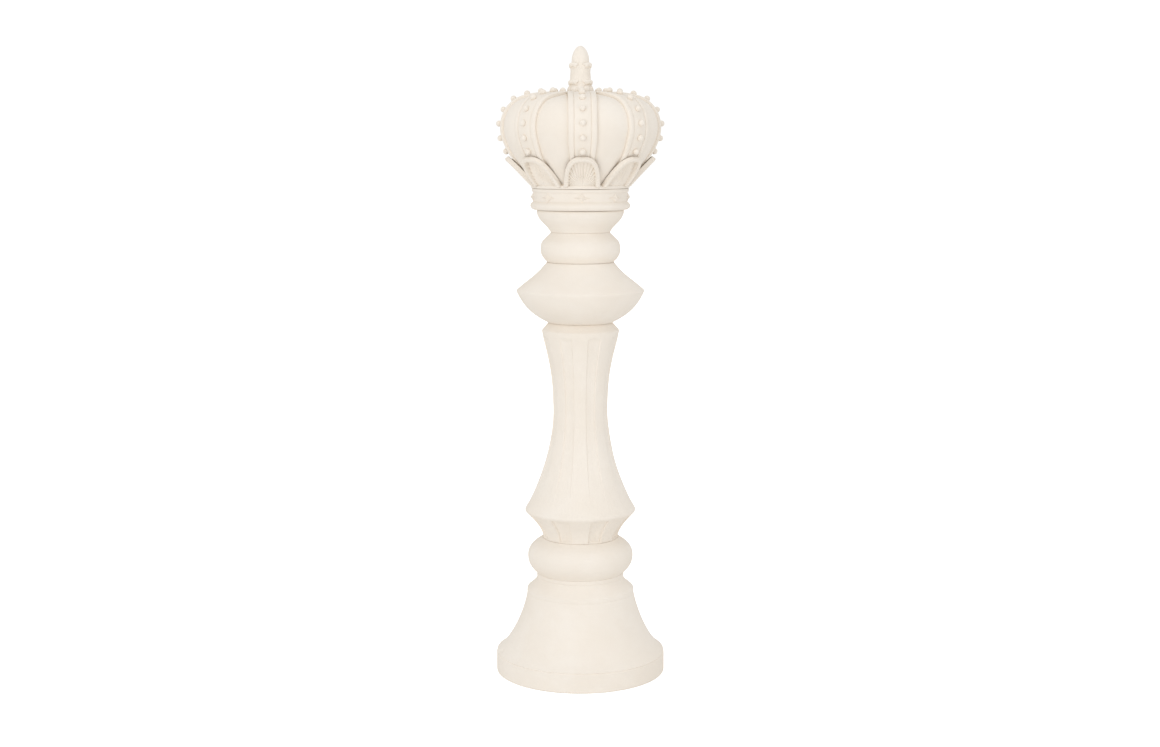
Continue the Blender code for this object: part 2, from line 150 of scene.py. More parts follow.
def softened(path):
    """The closed outline with its corners rounded, as rows of (radius, height, spacing)."""
    rows = []
    for before, here, after in zip(path[-1:] + path[:-1], path, path[1:] + path[:1]):
        at = np.array(here[:2])
        back = np.array(before[:2]) - at
        onward = np.array(after[:2]) - at
        back_length, onward_length = np.linalg.norm(back), np.linalg.norm(onward)
        reach = min(here[2], 0.45 * back_length, 0.45 * onward_length)
        straight = -(back @ onward) / (back_length * onward_length)
        if reach < 0.05 or straight > math.cos(math.radians(8)):
            rows.append((*at, here[3]))
            continue
        start = at + back / back_length * reach
        end = at + onward / onward_length * reach
        for t in np.linspace(0, 1, 5):
            rows.append((*((1 - t) ** 2 * start + 2 * t * (1 - t) * at + t * t * end), here[3]))
    return rows


def spaced(rows):
    """The closed outline with points added where they are further apart than their spacing."""
    points = []
    for here, after in zip(rows, rows[1:] + rows[:1]):
        count = max(1, math.ceil(math.dist(here[:2], after[:2]) / here[2]))
        for i in range(count):
            share = i / count
            points.append([a + (b - a) * share for a, b in zip(here[:2], after[:2])])
    return np.array(points)


def spigot_up(top, bore=ROD_HOLE_R):
    """The top of a section, from its bore or the axis outwards over its spigot."""
    return outline(
        (bore, top + SPIGOT_H),
        (SPIGOT_R, top + SPIGOT_H),
        (SPIGOT_R, top, 0.0),
        step=COARSE,
    )


def recess_under(bottom, bore=ROD_HOLE_R):
    """The underside of a section, inwards over the spigot below to its bore or the axis."""
    roof = bottom + SPIGOT_H + GAP
    return outline(
        (SPIGOT_R + GAP, bottom),
        (SPIGOT_R + GAP, roof, 0.0),
        (bore, roof),
        step=COARSE,
    )


# ------------------------------------------------------------------ meshes


def grid_faces(rows, columns, wrap_rows=False, wrap_columns=False):
    """The quads of a grid of points numbered row by row.

    They face out where the rows go down and the columns go round the same way as the angle.
    """
    i, j = np.meshgrid(
        np.arange(rows if wrap_rows else rows - 1),
        np.arange(columns if wrap_columns else columns - 1),
        indexing="ij",
    )
    below, beside = (i + 1) % rows, (j + 1) % columns
    corners = (i * columns + j, below * columns + j, below * columns + beside, i * columns + beside)
    return np.stack(corners, axis=-1).reshape(-1, 4).tolist()


def new_mesh(name, points, faces):
    """A smooth-shaded mesh from points in millimetres."""
    mesh = bpy.data.meshes.new(name)
    mesh.from_pydata((np.asarray(points) * MM).tolist(), [], faces)
    return shaded(mesh, SHARP)


def shaded(mesh, sharp):
    """The mesh with smooth shading, except at edges that turn by more than sharp."""
    mesh.shade_smooth()
    mesh.set_sharp_from_angle(angle=sharp)
    return mesh


def add_object(name, mesh, surface, turn=0.0):
    """Link a new object for a mesh."""
    made = bpy.data.objects.new(name, mesh)
    made.rotation_euler = (0.0, 0.0, turn)
    bpy.context.scene.collection.objects.link(made)
    if surface and not mesh.materials:
        mesh.materials.append(surface)
    return made


def settle(thing, sharp=SHARP):
    """Apply an object's modifiers."""
    bpy.context.view_layer.update()
    graph = bpy.context.evaluated_depsgraph_get()
    mesh = bpy.data.meshes.new_from_object(thing.evaluated_get(graph), depsgraph=graph)
    thing.modifiers.clear()
    thing.data = shaded(mesh, sharp)
    return thing


def place(thing, body, slot, *nodes):
    """Let a piece ride on its body and stand for its CAD nodes."""
    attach(thing, body)
    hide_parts(*nodes)
    return thing


def unevenness(seed, size):
    """A slow, closed wave over a turned section, as cast and rubbed down by hand."""
    dice = np.random.default_rng(seed)
    waves = [(dice.integers(1, 7), dice.uniform(0.01, 0.07), dice.uniform(0, TAU)) for _ in range(8)]

    def shift(r, z, angle):
        total = sum(np.sin(around * angle + along * z + phase) for around, along, phase in waves)
        return size * total / math.sqrt(len(waves))

    return shift


def lathe(name, path, steps, surface, relief=None):
    """Turn an outline round Z, in a number of steps or through the angles given.

    The relief moves the points out along the outline's normal.
    """
    profile = spaced(softened(path))
    along = np.roll(profile, -1, axis=0) - np.roll(profile, 1, axis=0)
    normal = np.stack((-along[:, 1], along[:, 0]), axis=1)
    normal /= np.linalg.norm(normal, axis=1)[:, None]
    solid = path[0][0] < ON_AXIS
    if solid:
        rings = profile[:, 0] > ON_AXIS
        profile, normal = profile[rings], normal[rings]
    angles = FRONT + np.arange(steps) * TAU / steps if isinstance(steps, int) else steps
    r, angle = np.meshgrid(profile[:, 0], angles, indexing="ij")
    z = np.repeat(profile[:, 1:2], len(angles), axis=1)
    shift = relief(r, z, angle) if relief else np.zeros_like(r)
    r = r + shift * normal[:, :1]
    z = z + shift * normal[:, 1:]
    points = np.stack((r * np.cos(angle), r * np.sin(angle), z), axis=-1).reshape(-1, 3)
    faces = grid_faces(len(profile), len(angles), not solid, True)
    if solid:
        points = np.concatenate((points, [(0.0, 0.0, path[0][1]), (0.0, 0.0, path[-1][1])]))
        faces += pole_faces(len(profile), len(angles))
    return add_object(name, new_mesh(name, points, faces), surface)


def add_section(node, body, path, steps, surface, relief):
    """A turned casting in the place of its node."""
    place(lathe(node + "_stone", path, steps, surface, relief), body, "cast_stone", node)


def pole_faces(rows, columns):
    """Fans from the two points after a grid of rings to its first and last rings."""
    top, bottom = rows * columns, rows * columns + 1
    last = (rows - 1) * columns
    faces = []
    for j in range(columns):
        beside = (j + 1) % columns
        faces.append([top, j, beside])
        faces.append([bottom, last + beside, last + j])
    return faces


def smooth_step(low, high, value):
    """0 below low, 1 above high, and smooth between."""
    t = np.clip((value - low) / (high - low), 0.0, 1.0)
    return t * t * (3 - 2 * t)


# ------------------------------------------------------------------ materials


class Nodes:
    """A material's node tree, with short calls to add and link nodes."""

    def __init__(self, name):
        self.material = bpy.data.materials.new(name)
        self.material.use_nodes = True
        self.tree = self.material.node_tree
        self.shader = self.tree.nodes["Principled BSDF"]
        self.column = 0

    def add(self, kind, settings=None, **inputs):
        """A node of a kind. Settings are its properties, and inputs are values or sockets by name."""
        node = self.tree.nodes.new("ShaderNode" + kind)
        node.location = (-260 * (1 + self.column // 4), -260 * (self.column % 4))
        self.column += 1
        for name, value in (settings or {}).items():
            setattr(node, name, value)
        for name, value in inputs.items():
            self.put(node, name.replace("_", " "), value)
        return node

    def put(self, node, name, value):
        """Set an input's value, or link a socket to it. A number stands for the input's place."""
        socket = node.inputs[int(name)] if name.isdigit() else node.inputs[name]
        if isinstance(value, bpy.types.NodeSocket):
            self.tree.links.new(value, socket)
        else:
            socket.default_value = value

    def maths(self, operation, first, second):
        """A Math node's result."""
        node = self.tree.nodes.new("ShaderNodeMath")
        node.operation = operation
        for place_in, value in enumerate((first, second)):
            self.put(node, str(place_in), value)
        return node.outputs[0]

    def blend(self, factor, first, second, mode="MIX"):
        """A colour mix."""
        node = self.tree.nodes.new("ShaderNodeMix")
        node.data_type = "RGBA"
        node.blend_type = mode
        for place_in, value in (("0", factor), ("6", first), ("7", second)):
            self.put(node, place_in, value)
        return node.outputs[2]

    def spread(self, value, low, high, to_low=0.0, to_high=1.0):
        """A value moved from one range to another, and kept in it."""
        node = self.add("MapRange", {"clamp": True}, Value=value)
        ends = {"From Min": low, "From Max": high, "To Min": to_low, "To Max": to_high}
        for name, number in ends.items():
            node.inputs[name].default_value = number
        return node.outputs[0]

    def noise(self, where, scale, detail, rough=0.55):
        """A noise texture's value."""
        node = self.add("TexNoise", Vector=where, Scale=scale, Detail=detail, Roughness=rough)
        return node.outputs[0]

    def bump(self, height, distance, normal=None):
        """A bump node's normal."""
        node = self.add("Bump", Height=height, Distance=distance)
        if normal:
            self.tree.links.new(normal, node.inputs["Normal"])
        return node.outputs[0]


STONE_LIGHT = (0.920, 0.862, 0.785, 1.0)
STONE_WARM = (0.892, 0.824, 0.736, 1.0)
# The warm brown of painted shade, laid into the stone's hollows, crevices and pin holes.
STONE_PAINTED_SHADE = (0.60, 0.50, 0.385, 1.0)


def stone_material(name, stroke_scale, stroke_height, hollow_shade_strength=0.36):
    """Cream cast stone: soft mottling, fine sand, pin holes and tool strokes, with warm painted shade in
    its hollows, crevices and pin holes.
    """
    n = Nodes(name)
    where = n.add("TexCoord").outputs["Object"]
    clouds = n.noise(where, 9.0, 4.0)
    patches = n.noise(where, 38.0, 5.0, 0.6)
    sand = n.noise(where, 1100.0, 2.0)
    cells = n.add("TexVoronoi", Vector=where, Scale=260.0, Randomness=1.0)
    few = n.spread(n.noise(where, 61.0, 2.0), 0.60, 0.68)
    hole = n.maths("MULTIPLY", n.spread(cells.outputs["Distance"], 0.07, 0.13, 1.0, 0.0), few)
    stretched = n.add("Mapping", Vector=where)
    stretched.inputs["Scale"].default_value = stroke_scale
    strokes = n.noise(stretched.outputs[0], 1.0, 3.0, 0.7)

    tint = n.blend(n.spread(clouds, 0.35, 0.68), STONE_LIGHT, STONE_WARM)
    colour = n.blend(n.spread(patches, 0.42, 0.72, 0.0, 0.45), tint, STONE_WARM)
    sandy = n.spread(sand, 0.3, 0.7, 0.985, 1.0)
    colour = n.blend(1.0, colour, n.blend(sandy, (0.88, 0.86, 0.83, 1.0), (1.0, 1.0, 1.0, 1.0)), "MULTIPLY")
    # Painted shade: the pin holes darkened a little towards the shade colour.
    colour = n.blend(n.maths("MULTIPLY", hole, 0.22), colour, STONE_PAINTED_SHADE)
    # Painted shade: concave places, found by pointiness, are darkened towards the shade colour.
    hollow = n.spread(n.add("NewGeometry").outputs["Pointiness"], 0.40, 0.495, 1.0, 0.0)
    # Painted shade: places that ambient occlusion finds close to other surfaces are darkened towards the
    # shade colour, as strongly as the last argument says.
    shade = n.add("AmbientOcclusion", {"samples": 8, "only_local": False}, Distance=0.014)
    crevice_shade = n.spread(shade.outputs["AO"], 0.04, 0.62, 1.0, 0.0)
    colour = n.blend(n.maths("MULTIPLY", hollow, 0.30), colour, STONE_PAINTED_SHADE)
    colour = n.blend(n.maths("MULTIPLY", crevice_shade, hollow_shade_strength), colour, STONE_PAINTED_SHADE)
    n.put(n.shader, "Base Color", colour)

    n.put(n.shader, "Roughness", n.spread(patches, 0.3, 0.7, 0.74, 0.9))
    n.shader.inputs["Specular IOR Level"].default_value = 0.28
    relief = n.bump(strokes, stroke_height)
    relief = n.bump(clouds, 0.0016, relief)
    relief = n.bump(patches, 0.0007, relief)
    relief = n.bump(sand, 0.00012, relief)
    relief = n.bump(n.maths("MULTIPLY", hole, -1.0), 0.0003, relief)
    n.put(n.shader, "Normal", relief)
    return n.material


def steel_material():
    """Zinc-plated steel: cloudy crystals, fine scratches and dull patches."""
    n = Nodes("zinc_steel")
    where = n.add("TexCoord").outputs["Object"]
    crystals = n.add("TexVoronoi", Vector=where, Scale=95.0).outputs["Color"]
    clouds = n.noise(where, 30.0, 5.0)
    brushed = n.add("Mapping", Vector=where)
    brushed.inputs["Scale"].default_value = (1500.0, 40.0, 1500.0)
    lines = n.noise(brushed.outputs[0], 1.0, 2.0)
    grey = n.blend(n.spread(clouds, 0.35, 0.65), (0.60, 0.61, 0.62, 1.0), (0.47, 0.48, 0.50, 1.0))
    tinted = n.blend(0.08, grey, crystals, "SOFT_LIGHT")
    n.put(n.shader, "Base Color", tinted)
    n.put(n.shader, "Roughness", n.spread(clouds, 0.3, 0.7, 0.30, 0.50))
    n.shader.inputs["Metallic"].default_value = 1.0
    n.put(n.shader, "Normal", n.bump(lines, 0.00006, n.bump(clouds, 0.0002)))
    return n.material


def rubber_material():
    """Black moulded rubber with a matte, dusty surface."""
    n = Nodes("black_rubber")
    where = n.add("TexCoord").outputs["Object"]
    dust = n.noise(where, 70.0, 5.0)
    grain = n.noise(where, 1400.0, 2.0)
    black, grey = (0.022, 0.022, 0.023, 1.0), (0.075, 0.07, 0.065, 1.0)
    n.put(n.shader, "Base Color", n.blend(n.spread(dust, 0.45, 0.8), black, grey))
    n.put(n.shader, "Roughness", n.spread(dust, 0.3, 0.7, 0.62, 0.85))
    n.put(n.shader, "Normal", n.bump(grain, 0.00012))
    return n.material


turned_stone = stone_material("cast_stone_turned", (12.0, 12.0, 300.0), 0.0004)
fluted_stone = stone_material("cast_stone_fluted", (230.0, 230.0, 7.0), 0.0008)
carved_stone = stone_material("cast_stone_carved", (120.0, 120.0, 90.0), 0.00012)
# The leaves' stone: the carved stone with its crevices darkened fully by painted shade, so the hollows of
# the leaves come out darker.
deep_shaded_leaf_stone = stone_material("cast_stone_leaf_deep_painted_shade", (120.0, 120.0, 90.0), 0.00012, 1.0)
steel = steel_material()
rubber = rubber_material()


# ------------------------------------------------------------------ column


def make_bell():
    """The bell foot, with a small chip in its shoulder."""
    outer = outline(
        (89.6, RING_Z - 0.1, 0.3),
        (91.6, 212.6, 0.8),
        (92, 209.6, 1.0),
        (92, 204.8, 0.6),
        (90.9, 203.8, 0.3),
        ((92, 195), (100, 189), (111.4, 179.6)),
        (112.6, 178.4, 1.0),
        (113.0, 171.2, 1.0),
        (112.5, 170.2, 0.4),
        ((117.5, 142), (129, 105), (151.5, 70)),
        ((156, 62.5), (165, 51.8), (174.8, 44.9)),
        (BASE_R - 0.5, 43.2, 0.6),
        (BASE_R - 1.7, 42.0, 0.4),
        (BASE_R - 1.5, 41.0, 0.4),
        (BASE_R, 39.9, 0.8),
        (BASE_R, BELL_Z, 2.2),
    )
    seat_r = PLATE_R + 2
    seat_z = PLATE_TOP_Z + GAP
    seat = outline(
        (seat_r, BELL_Z, 1.2),
        (seat_r, seat_z, 1.0),
        (ROD_HOLE_R, seat_z),
        step=COARSE,
    )
    wave = unevenness(3, 0.32)
    chip_at, chip_z, chip_depth = math.radians(193), 49.0, 2.6

    def relief(r, z, angle):
        outside = np.where(z < 40, r > PLATE_R + 3, r > SPIGOT_R + 24)
        skin = smooth_step(BELL_Z, 12, z) * (1 - smooth_step(200, 209, z)) * outside
        off = np.abs((angle - chip_at + math.pi) % TAU - math.pi) * BASE_R
        chip = np.exp(-((off / 7.0) ** 2) - ((z - chip_z) / 4.0) ** 2)
        return skin * (wave(r, z, angle) - chip_depth * chip)

    add_section("base_bell", "column", spigot_up(210) + outer + seat, 288, turned_stone, relief)


def make_lower_ring():
    """The fat ring between the bell and the stem."""
    outer = outline(
        (80.8, STEM_Z - TIGHT, 0.4),
        ((83, 284), (110.9, 274), (110.9, 250)),
        ((110.9, 230), (101.5, 222.5), (89.4, RING_Z)),
    )
    path = spigot_up(STEM_Z - GAP) + outer + recess_under(RING_Z)
    wave = edge_free(unevenness(4, 0.30), RING_Z, STEM_Z, 8)
    add_section("lower_ring", "column", path, 256, turned_stone, wave)


def rib_offset(angle, turn):
    """The angle from the middle of the nearest of eight ribs."""
    pitch = TAU / RIBS
    return (angle - FRONT - turn + pitch / 2) % pitch - pitch / 2


def edge_free(wave, low, high, margin):
    """A wave that fades out near a section's joints."""

    def shift(r, z, angle):
        fade = smooth_step(low + 0.5, low + margin, z) * (1 - smooth_step(high - margin, high - 0.5, z))
        return fade * (r > SPIGOT_R + 1) * wave(r, z, angle)

    return shift


# The stem's panels, in degrees from a panel's middle, and its flutes.
STEM_TURN = math.radians(-0.6)
PANEL_HALF = 11.8
FLUTE_EDGE = 13.0
FLUTE_TOP_Z = 718.0
FLUTE_ABOVE_LIP = 1.9
FLUTE_BELOW_LIP = 4.4
LIP_Z = 345.0


def flute_angles():
    """Angles round the stem, close together at the edges of its panels."""
    pitch = 360.0 / RIBS
    panel = np.linspace(-PANEL_HALF + 0.4, PANEL_HALF - 0.4, 10)
    edge = np.linspace(PANEL_HALF - 0.15, FLUTE_EDGE + 0.3, 7)
    floor = np.linspace(FLUTE_EDGE + 1.2, pitch - FLUTE_EDGE - 1.2, 8)
    one = np.concatenate((panel, edge, floor, pitch - edge[::-1]))
    every = np.concatenate([one + k * pitch for k in range(RIBS)])
    return FRONT + STEM_TURN + np.radians(every)


def flute_relief(r, z, angle):
    """The sunk flutes between the panels: shallow on the shaft, none at the lip and deep under it."""
    off = np.degrees(np.abs(rib_offset(angle, STEM_TURN)))
    sunk = smooth_step(PANEL_HALF, FLUTE_EDGE, off)
    dish = 0.5 * smooth_step(FLUTE_EDGE, 180.0 / RIBS, off)
    above = smooth_step(LIP_Z + 4, LIP_Z + 110, z) * (1 - smooth_step(FLUTE_TOP_Z - 9, FLUTE_TOP_Z, z))
    below = (1 - smooth_step(LIP_Z - 10, LIP_Z - 3, z)) * smooth_step(STEM_Z, STEM_Z + 4, z)
    depth = FLUTE_ABOVE_LIP * above + FLUTE_BELOW_LIP * below
    return -(depth * sunk * (1 + dish))


def make_stem():
    """The waisted stem with eight raised panels, a lip that hangs over its foot and a plain rim."""
    outer = outline(
        (66.4, COLLAR_Z - TIGHT, 0.4),
        (80.4, 727, 1.4),
        (80.4, 724, 1.4),
        ((75.4, 687), (59.3, 664), (57, 570)),
        ((54.2, 488), (88, 392), (115.0, 351.6)),
        (116.9, 347.4, 0.9),
        (115.6, 344.2, 0.9),
        ((103, 331), (81.3, 310), (78.3, STEM_Z)),
        step=1.55,
    )
    path = spigot_up(COLLAR_Z - GAP) + outer + recess_under(STEM_Z)
    wave = edge_free(unevenness(5, 0.35), STEM_Z, COLLAR_Z, 10)

    def relief(r, z, angle):
        outside = r > SPIGOT_R + 3
        return outside * flute_relief(r, z, angle) + wave(r, z, angle)

    add_section("stem", "column", path, flute_angles(), fluted_stone, relief)


def make_collar():
    """The double cone with a sharp edge."""
    outer = outline(
        (70, NECK_RING_Z - TIGHT, 0.4),
        ((88.6, 841), (111, 830), (133, 809.8)),
        (132.6, 806.8, 0.7),
        ((118, 772.4), (93.5, 755), (66.4, COLLAR_Z)),
    )
    path = spigot_up(NECK_RING_Z - GAP) + outer + recess_under(COLLAR_Z)
    wave = edge_free(unevenness(6, 0.30), COLLAR_Z, NECK_RING_Z, 8)
    add_section("collar", "column", path, 288, turned_stone, wave)


def make_neck_ring():
    """The round ring under the neck."""
    outer = outline(
        (61, CUP_Z - TIGHT, 0.4),
        ((73.6, 914), (83.2, 914), (83.2, 896)),
        ((83.2, 883.4), (80.5, 879), (68.5, NECK_RING_Z)),
    )
    path = spigot_up(CUP_Z - GAP) + outer + recess_under(NECK_RING_Z)
    wave = edge_free(unevenness(7, 0.28), NECK_RING_Z, CUP_Z, 7)
    add_section("neck_ring", "column", path, 240, turned_stone, wave)


SEAT_R = 58.0
WELL_R = 26.0
WELL_Z = 945.0
BEARING_R = 88.0
CAP_BEARING_R = 98.2


def make_neck_cup():
    """The cup under the crown, with a bearing ring, a spigot for the crown and a well for the rod's nut."""
    bearing = BAND_Z - GAP
    rim = bearing - 0.5
    outer = outline(
        (WELL_R, SEAT_TOP_Z, 1.5),
        (SEAT_R, SEAT_TOP_Z, 1.5),
        (SEAT_R, bearing, 0.0),
        (BEARING_R, bearing, 0.3),
        (BEARING_R + 0.5, rim, 0.0),
        (89.8, rim, 0.8),
        (90.6, rim - 3.0, 1.2),
        ((86.2, 949), (70.3, 947), (62, CUP_Z)),
    )
    well = outline((ROD_HOLE_R, WELL_Z), (WELL_R, WELL_Z, 1.5), step=5.0)
    wave = edge_free(unevenness(8, 0.26), CUP_Z, bearing, 6)
    add_section("neck_cup", "column", outer + recess_under(CUP_Z) + well, 240, turned_stone, wave)


# ------------------------------------------------------------------ crown


def repeat_round(node, mesh, surface):
    """Eight copies of a mesh round the crown, each in the place of a numbered node."""
    for i in range(RIBS):
        piece = add_object(f"{node}_stone_{i + 1}", mesh, surface, RIB_TURN + i * TAU / RIBS)
        place(piece, "crown", "cast_stone", f"{node}_{i + 1}")


def make_band():
    """The crown's band: a disc with a soft lower moulding, a narrow top rim and a seat in its underside."""
    top = CAP_Z - GAP
    shade = top - 0.5
    roof = SEAT_TOP_Z + 0.8
    outer = outline(
        (CAP_BEARING_R, top, 0.3),
        (CAP_BEARING_R + 0.5, shade, 0.0),
        (99.6, shade, 0.6),
        (100, shade - 2.8, 1.6),
        (99.2, top - 6.2, 1.8),
        (96.4, top - 8.4, 2.2),
        (96, 993, 2.6),
        ((101.6, 991), (106.4, 984), (101, 978.4)),
        (97.4, BAND_Z + 0.3, 0.9),
        (SEAT_R + 1, BAND_Z, 0.0),
        (SEAT_R + 1, roof),
        (0, roof, 0.0),
        step=1.4,
    )
    wave = unevenness(9, 0.35)

    def relief(r, z, angle):
        return (r > 90) * wave(r, 4 * z, angle)

    add_section("crown_band", "crown", spigot_up(top, 0) + outer, 300, carved_stone, relief)


STAR_HALF_W = 17.6
STAR_HALF_H = 10.0
STAR_RISE = 6.2
STAR_Z = 1001.2
STAR_HOLLOW = 0.66
BAND_R = 96.0


def make_stars():
    """Eight four-pointed stars with ridged arms, bent round the band."""
    spokes, rings = 96, 12
    around = np.arange(spokes) * TAU / spokes
    across, up = np.cos(around), np.sin(around)
    reach = (np.abs(across) ** STAR_HOLLOW + np.abs(up) ** STAR_HOLLOW) ** (-1 / STAR_HOLLOW)
    share = np.concatenate(([1.0, 1.0], np.linspace(1.0, 0.0, rings + 1)[:-1]))
    rise = np.concatenate(([-1.4, 0.2], 0.7 + (STAR_RISE - 0.7) * (1 - share[2:])))
    side = share[:, None] * (STAR_HALF_W * reach * across)[None, :]
    climb = share[:, None] * (STAR_HALF_H * reach * up)[None, :]
    radius = BAND_R + np.append(np.repeat(rise, spokes), (-1.4, STAR_RISE))
    turn = np.append(side.ravel(), (0.0, 0.0)) / BAND_R
    height = STAR_Z + np.append(climb.ravel(), (0.0, 0.0))
    points = np.stack((radius * np.sin(turn), -radius * np.cos(turn), height), axis=-1)
    faces = grid_faces(len(share), spokes, False, True) + pole_faces(len(share), spokes)
    repeat_round("band_star", welded(new_mesh("band_star", points, faces)), carved_stone)


ARCH_HALF_W = 28.5
FLANGE_R = 101.0
FLANGE_Z = 1024.0
SEAT_DISH_R = 31.0
STRAP_FOOT_Z = 1063.0
# The dome's outer side, as curves from its foot up to the dish round the finial.
ARCH_LINE = (
    ((110, 1046), (158.4, 1098), (160.6, 1138)),
    ((162.6, 1175), (138, 1200), (112, 1204)),
    ((100, 1207.5), (78, 1211), (60, 1211)),
    ((50, 1211), (42, 1208), (36, 1203)),
)


def strap_half_width(r, z):
    """Half a strap's width: narrower behind the leaf and where the straps meet near the finial."""
    foot = 0.84 + 0.16 * smooth_step(1072, 1122, z)
    return np.minimum(ARCH_HALF_W * foot, 0.37 * r)


def lobe_relief(r, z, angle):
    """Eight puffed lobes between the straps, with a sunk bed under each strap."""
    half = strap_half_width(r, z)
    room = np.maximum(math.pi / RIBS * r - half, 1.0)
    share = np.clip((np.abs(rib_offset(angle, RIB_TURN)) * r - half + 1.5) / room, 0.0, 1.0)
    puff = 1 - (1 - share) ** 2.4
    start = smooth_step(1032, 1072, z)
    crest = smooth_step(150, 95, r) * (z > 1150)
    return start * (1.2 * puff - 2.4 * (1 - puff)) - 3.4 * crest * smooth_step(34, 60, r)


def make_cap():
    """The dome with its lobes and its flange, a flat seat for the finial and a hole for its stud."""
    hole_r = STUD_R + GAP
    hole_z = STUD_BOTTOM_Z - GAP
    seat = outline(
        (0, hole_z, 0.0),
        (hole_r, hole_z),
        (hole_r, FINIAL_Z - GAP, 0.5),
        (SEAT_DISH_R - 1, FINIAL_Z - GAP, 1.5),
        step=COARSE,
    )
    dome = outline((36, 1203, 1.0), *[tuple(reversed(c[:2])) + (e,) for c, e in reversed_line()])
    flange = outline(
        (FLANGE_R, FLANGE_Z + 2.0, 2.0),
        (FLANGE_R, CAP_Z + 0.3, 1.0),
        (CAP_BEARING_R, CAP_Z, 0.0),
        step=1.4,
    )
    wave = unevenness(10, 0.30)

    foot = FLANGE_Z + 5

    def relief(r, z, angle):
        outside = (z > foot) & (r > SEAT_DISH_R)
        return outside * (lobe_relief(r, z, angle) + wave(r, z, angle) * smooth_step(foot, foot + 13, z))

    path = seat + dome + flange + recess_under(CAP_Z, 0)
    add_section("crown_cap", "crown", path, 320, carved_stone, relief)


def reversed_line():
    """The dome's curves from the dish round the finial down to the flange."""
    starts = [(96.5, FLANGE_Z + 5.2)] + [c[2] for c in ARCH_LINE]
    return [(ARCH_LINE[i], starts[i]) for i in reversed(range(len(ARCH_LINE)))]


def arch_line(step):
    """Points up the dome's outer side, from behind the leaf to the finial, and their outward normals."""
    path = outline((91, FLANGE_Z), *ARCH_LINE, step=step)
    line = np.array([p[:2] for p in path if p[1] > STRAP_FOOT_Z])
    along = np.gradient(line, axis=0)
    normal = np.stack((along[:, 1], -along[:, 0]), axis=1)
    return line, normal / np.linalg.norm(normal, axis=1)[:, None]


def strap_section():
    """The strap's cross-section as (share of its half width, height): two rails and a shallow channel."""
    half = [(-1.0, -9.0)]
    for t in np.linspace(0, math.pi, 15):
        half.append((-0.80 - 0.2 * math.cos(t), 1.1 + 2.6 * math.sin(t) ** 0.9))
    half += [(-0.585, 1.0), (-0.55, 1.8), (-0.50, 2.2), (-0.34, 2.3), (-0.18, 2.4)]
    return half + [(0.0, 2.4)] + [(-u, h) for u, h in reversed(half)]


def make_strap():
    """One strap: a loft of its cross-section up the dome."""
    line, normal = arch_line(2.2)
    section = np.array(strap_section())
    r, z = line[:, :1], line[:, 1:]
    grow = smooth_step(STRAP_FOOT_Z - 1, STRAP_FOOT_Z + 25, z) * (0.45 + 0.55 * smooth_step(45, 110, r))
    tall = section[None, :, 1]
    tall = np.where(tall > 0, tall * grow, tall)
    base_r = r + 1.2 * normal[:, :1]
    angle = section[None, :, 0] * strap_half_width(r, z) / base_r
    radius = base_r + tall * normal[:, :1]
    height = z + (1.2 + tall) * normal[:, 1:]
    points = np.stack((radius * np.sin(angle), -radius * np.cos(angle), height), axis=-1)
    rows, columns = points.shape[:2]
    faces = grid_faces(rows, columns, False, True)
    faces.append(list(range(columns)))
    faces.append([(rows - 1) * columns + j for j in reversed(range(columns))])
    return welded(new_mesh("arch_strap", points.reshape(-1, 3), faces))


PEARLS = 8
PEARL_R = 6.2
PEARL_LIFT = 6.2
PEARL_START = 40.6
PEARL_END = 234.1


def make_pearls():
    """A row of pearls along the strap, each a little out of round."""
    line, normal = arch_line(0.6)
    travel = np.concatenate(([0.0], np.cumsum(np.linalg.norm(np.diff(line, axis=0), axis=1))))
    dice = np.random.default_rng(21)
    points, faces = [], []
    for k in range(PEARLS):
        along = PEARL_START + (PEARL_END - PEARL_START) * k / (PEARLS - 1)
        here = np.array([np.interp(along, travel, line[:, i]) for i in (0, 1)])
        out = np.array([np.interp(along, travel, normal[:, i]) for i in (0, 1)])
        middle = here + PEARL_LIFT * out
        size = PEARL_R * dice.uniform(0.95, 1.04)
        ball, ball_faces = ellipsoid(size, size, 0.96 * size, 14, 22)
        r = middle[0] + ball[:, 2] * out[0] - ball[:, 1] * out[1]
        z = middle[1] + ball[:, 2] * out[1] + ball[:, 1] * out[0]
        faces += [[len(points) + v for v in face] for face in ball_faces]
        points += zip(ball[:, 0], -r, z)
    return welded(new_mesh("pearls", points, faces))


def ellipsoid(half_x, half_y, half_z, rings, spokes):
    """The points and faces of an ellipsoid round the origin."""
    polar = math.pi * np.arange(rings + 1) / rings
    turn = TAU * np.arange(spokes) / spokes
    x = half_x * np.outer(np.sin(polar), np.cos(turn))
    y = half_y * np.outer(np.sin(polar), np.sin(turn))
    z = half_z * np.outer(np.cos(polar), np.ones(spokes))
    points = np.stack((x, y, z), axis=-1).reshape(-1, 3)
    return points, grid_faces(rings + 1, spokes, False, True)


def welded(mesh):
    """The mesh with its doubled points merged and its faces turned out."""
    builder = bmesh.new()
    builder.from_mesh(mesh)
    bmesh.ops.remove_doubles(builder, verts=builder.verts, dist=0.000005)
    bmesh.ops.dissolve_degenerate(builder, edges=builder.edges, dist=0.000002)
    bmesh.ops.recalc_face_normals(builder, faces=builder.faces)
    builder.to_mesh(mesh)
    builder.free()
    return mesh


def make_arches():
    """Eight straps, each in one piece with its pearls."""
    strap = add_object("arch_pattern", make_strap(), None)
    pearls = add_object("pearl_pattern", make_pearls(), None)
    join = strap.modifiers.new("Pearls", "BOOLEAN")
    join.operation = "UNION"
    join.solver = "EXACT"
    join.object = pearls
    mesh = settle(strap).data
    mesh.materials.clear()
    for pattern in (strap, pearls):
        bpy.data.objects.remove(pattern)
    repeat_round("crown_arch", mesh, carved_stone)


# A leaf's foot and tip are (radius, height).
LEAF_HALF_W = 37.0
LEAF_FOOT = (101.5, 1024.6)
LEAF_TIP = (152.0, 1081.5)
LEAF_ROUND = 2.8
LEAF_RIM = 10.0
LEAF_NOTCHES = 27
LEAF_BACK = -5.2


